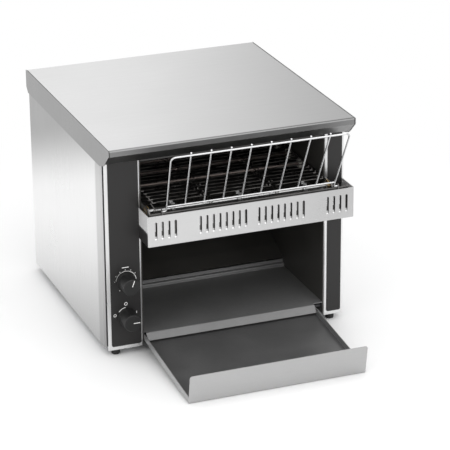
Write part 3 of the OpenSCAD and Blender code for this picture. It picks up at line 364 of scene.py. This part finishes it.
worn("cast", (0.52, 0.52, 0.53), (0.42, 0.42, 0.43), 0.55, 90.0, bump=0.0001).on("gearbox")
coated("motor", (0.05, 0.055, 0.06), 0.40).on("drive_motor")
worn("sheath", (0.30, 0.26, 0.24), (0.14, 0.11, 0.10), 0.50, 60.0).on(
    "upper_elements", "lower_elements")
coated("ceramic", (0.78, 0.76, 0.70), 0.25, 400.0, coat=0.5, vary=0.06).on(
    "element_holders", "terminal_block")
fibre("wool", (0.72, 0.68, 0.52), (0.48, 0.44, 0.32)).on("insulation")
coated("knob", grey(0.005), 0.50, 1800.0, 0.00001).on("speed_knob", "selector_knob")
coated("plastic", (0.030, 0.030, 0.032), 0.50).on(
    "tray_shoes", "speed_control", "selector_switch", "fan_frame", "fan_rotor")
coated("rubber", grey(0.016), 0.80, 500.0, 0.00006).on("feet", "cord_gland")
worn("zinc", (0.66, 0.67, 0.69), (0.54, 0.55, 0.56), 0.34, 120.0).on("foot_screws", "panel_screws")
ink = coated("print", (0.88, 0.88, 0.87), 0.55, 1200.0, vary=0.05)


# ---------------------------------------------------------------- camera

ELEVATION, ROLL = math.radians(21.91), math.radians(-0.45)
LENS, SENSOR = 181.56, 36.0     # millimetres
CAMERA_PLACE = P(-1109.39, -2876.97, 1421.54)

back = Vector((math.sin(VIEW_AZIMUTH) * math.cos(ELEVATION),
               -math.cos(VIEW_AZIMUTH) * math.cos(ELEVATION), math.sin(ELEVATION)))
right = Vector((math.cos(VIEW_AZIMUTH), math.sin(VIEW_AZIMUTH), 0))
up = back.cross(right)
cam_x = right * math.cos(ROLL) + up * math.sin(ROLL)
cam_y = up * math.cos(ROLL) - right * math.sin(ROLL)
camera = bpy.data.objects.new("camera", bpy.data.cameras.new("camera"))
camera.data.sensor_width = SENSOR
camera.data.lens = LENS
camera.data.clip_start, camera.data.clip_end = 0.1, 50.0
place = Matrix((cam_x, cam_y, back)).transposed().to_4x4()
place.translation = CAMERA_PLACE
camera.matrix_world = place
bpy.context.collection.objects.link(camera)
bpy.context.scene.camera = camera


# ---------------------------------------------------------------- printed marks, in millimetres

def mesh_object(name, bm, body):
    """Make the marks a piece of their own, which rides with a body."""
    me = bpy.data.meshes.new(name)
    bmesh.ops.recalc_face_normals(bm, faces=bm.faces)
    bm.to_mesh(me)
    bm.free()
    o = bpy.data.objects.new(name, me)
    me.materials.append(ink.mat)
    bpy.context.collection.objects.link(o)
    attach(o, body)


def layers(bm, outline, depths):
    """The outline's points as vertices, once at each depth."""
    return [[bm.verts.new(P(x, y, z)) for x, z in outline] for y in depths]


def join_rows(bm, a, b):
    """Faces between two closed rows of vertices."""
    for i in range(len(a)):
        j = (i + 1) % len(a)
        bm.faces.new((a[i], b[i], b[j], a[j]))


def prism(bm, outline, depths):
    """A flat shape in X and Z between two depths."""
    front, rear = layers(bm, outline, depths)
    bm.faces.new(front)
    bm.faces.new(list(reversed(rear)))
    join_rows(bm, front, rear)


def ring(bm, x, z, r, width, depths):
    """A flat round ring between two depths, r its outer radius."""
    outer, inner = (layers(bm, disc(x, z, radius), depths) for radius in (r, r - width))
    join_rows(bm, outer[0], inner[0])
    join_rows(bm, inner[1], outer[1])
    join_rows(bm, outer[1], outer[0])
    join_rows(bm, inner[0], inner[1])


def on_circle(x, z, r, degrees):
    return (x + r * math.cos(math.radians(degrees)), z + r * math.sin(math.radians(degrees)))


def disc(x, z, r, count=20):
    return [on_circle(x, z, r, 360 * i / count) for i in range(count)]


def arc(x, z, r, width, a0, a1, count):
    """Outline of a part of a ring, angles in degrees from the right, anticlockwise."""
    angles = [a0 + (a1 - a0) * i / count for i in range(count + 1)]
    outer = [on_circle(x, z, r + width / 2, a) for a in angles]
    inner = [on_circle(x, z, r - width / 2, a) for a in angles]
    return outer + inner[::-1]


def bar(x0, z0, x1, z1, width):
    """Outline of a straight line between two points."""
    d = Vector((x1 - x0, z1 - z0)).normalized() * width / 2
    return [(x0 - d.y, z0 + d.x), (x0 + d.y, z0 - d.x), (x1 + d.y, z1 - d.x), (x1 - d.y, z1 + d.x)]


def middle(name):
    """X and Z of the middle of a CAD node."""
    low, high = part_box(name)
    return (low.x + high.x) / 2 / MM, (low.z + high.z) / 2 / MM


KNOB_X, SPEED_Z = middle("speed_knob")
SELECTOR_Z = middle("selector_knob")[1]
KNOB_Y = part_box("speed_knob")[0].y / MM - SHIFT     # front of both knobs
PANEL_Y = -0.8                                      # just ahead of the black panel
INK_DEPTHS = (PANEL_Y - 0.06, PANEL_Y)
INLAY_DEPTHS = (KNOB_Y + 0.02, KNOB_Y + 0.45)
LINE = 1.1                                          # width of a bar or a pointer
POINTER_FROM, POINTER_TO = 1.1, 11.0                # radii
DOT_R, SCALE_R, ARC_R = 17.6, 15.4, 15.0
STEPS = 6                                           # of the speed scale
DOT_FROM, DOT_TURN = 177, 28                        # degrees, and from one dot to the next
SCALE_FROM, SCALE_TURN, LAP = 176, 29, 0.2          # the same for the arc, with an overlap

marks = bmesh.new()
shapes = []
# Speed scale: an arc that gets broader clockwise, dots around it, one below, a bar above
for i in range(STEPS):
    dot = on_circle(KNOB_X, SPEED_Z, DOT_R, DOT_FROM - DOT_TURN * i)
    shapes.append(disc(*dot, 0.45 + 0.06 * i))
for i in range(STEPS):
    end = SCALE_FROM - SCALE_TURN * i
    start = end - SCALE_TURN - LAP
    shapes.append(arc(KNOB_X, SPEED_Z, SCALE_R, 0.3 + 0.14 * i, start, end, 8))
shapes.append(disc(KNOB_X - 10.0, SPEED_Z - 13.8, 0.65))
shapes.append(bar(KNOB_X - 6.0, SPEED_Z + 21.4, KNOB_X + 4.5, SPEED_Z + 21.4, LINE))
# Selector: a tick, a short arc and two open rings
shapes.append(bar(KNOB_X + 15.0, SELECTOR_Z + 3.2, KNOB_X + 15.2, SELECTOR_Z + 6.6, LINE))
shapes.append(arc(KNOB_X, SELECTOR_Z, ARC_R, 1.0, 97, 143, 10))
for outline in shapes:
    prism(marks, outline, INK_DEPTHS)
ring(marks, KNOB_X - 1.2, SELECTOR_Z + 20.4, 2.6, 0.8, INK_DEPTHS)
ring(marks, KNOB_X - 18.2, SELECTOR_Z + 4.2, 2.3, 0.8, INK_DEPTHS)
mesh_object("dial_marks", marks, "housing")

# Pointer lines inlaid in the knobs' faces: from near the middle to the rim
for name, body, z, angle in (("speed_pointer", "speed", SPEED_Z, 69),
                             ("selector_pointer", "selector", SELECTOR_Z, 0)):
    pointer = bmesh.new()
    inner, outer = (on_circle(KNOB_X, z, r, angle) for r in (POINTER_FROM, POINTER_TO))
    prism(pointer, bar(*inner, *outer, LINE), INLAY_DEPTHS)
    mesh_object(name, pointer, body)


# ---------------------------------------------------------------- stage and light

def sees_white(tree):
    """1 for camera, glossy and transmission rays, which see the background as plain white."""
    path = tree.nodes.new("ShaderNodeLightPath")
    value = path.outputs["Is Camera Ray"]
    for kind in ("Is Glossy Ray", "Is Transmission Ray"):
        n = tree.nodes.new("ShaderNodeMath")
        n.operation = "MAXIMUM"
        tree.links.new(value, n.inputs[0])
        tree.links.new(path.outputs[kind], n.inputs[1])
        value = n.outputs[0]
    return value


def studio(ambient):
    """White surroundings, which light the object with the ambient strength."""
    world = bpy.data.worlds.new("studio")
    bpy.context.scene.world = world
    world.use_nodes = True
    tree = world.node_tree
    tree.nodes.clear()
    out = tree.nodes.new("ShaderNodeOutputWorld")
    mix = tree.nodes.new("ShaderNodeMixShader")
    for strength, socket in ((ambient, mix.inputs[1]), (1.0, mix.inputs[2])):
        white = tree.nodes.new("ShaderNodeBackground")
        white.inputs[0].default_value = (1, 1, 1, 1)
        white.inputs[1].default_value = strength
        tree.links.new(white.outputs[0], socket)
    tree.links.new(sees_white(tree), mix.inputs[0])
    tree.links.new(mix.outputs[0], out.inputs[0])


def table_top(tone, white_span):
    """Pale table top; past the object's shadow it gets as white as the world behind it."""
    n = Nodes("floor")
    n.set(Base_Color=(*grey(tone), 1.0), Roughness=0.7)
    white = n.new("Emission")
    mix = n.new("MixShader")
    distance = n.math("SQRT", n.math("ADD", n.times(n.x, n.x), n.times(n.y, n.y)))
    n.link(n.times(n.step(distance, white_span), sees_white(n.tree)), mix.inputs[0])
    n.link(n.bsdf.outputs[0], mix.inputs[1])
    n.link(white.outputs[0], mix.inputs[2])
    n.link(mix.outputs[0], n.out.inputs[0])
    return n.mat


def area(name, place, target, size, power):
    """A soft rectangular lamp, size in metres and power in watts."""
    light = bpy.data.lights.new(name, "AREA")
    light.shape = "RECTANGLE"
    light.size, light.size_y = size
    light.energy = power
    o = bpy.data.objects.new(name, light)
    o.location = place
    o.rotation_mode = "QUATERNION"
    o.rotation_quaternion = (Vector(target) - Vector(place)).to_track_quat("-Z", "Y")
    bpy.context.collection.objects.link(o)


AMBIENT, FLOOR_TONE, FLOOR_HALF = 0.80, 0.94, 12.0
WHITE_SPAN = (0.50, 0.85)       # distance from the origin over which the floor gets white

studio(AMBIENT)

floor_bm = bmesh.new()
bmesh.ops.create_grid(floor_bm, x_segments=1, y_segments=1, size=FLOOR_HALF)
floor_me = bpy.data.meshes.new("floor")
floor_bm.to_mesh(floor_me)
floor_bm.free()
floor = bpy.data.objects.new("floor", floor_me)
floor_me.materials.append(table_top(FLOOR_TONE, WHITE_SPAN))
bpy.context.collection.objects.link(floor)

area("overhead", (0.1, -0.3, 2.2), (0, 0, 0.1), (3.2, 2.8), 24)
area("left_box", (-2.2, -0.9, 1.0), (0, 0, 0.2), (1.8, 1.6), 10)
area("front_box", (0.6, -2.6, 1.0), (0, 0, 0.15), (2.4, 1.6), 14)

bpy.context.scene.view_settings.view_transform = "Standard"
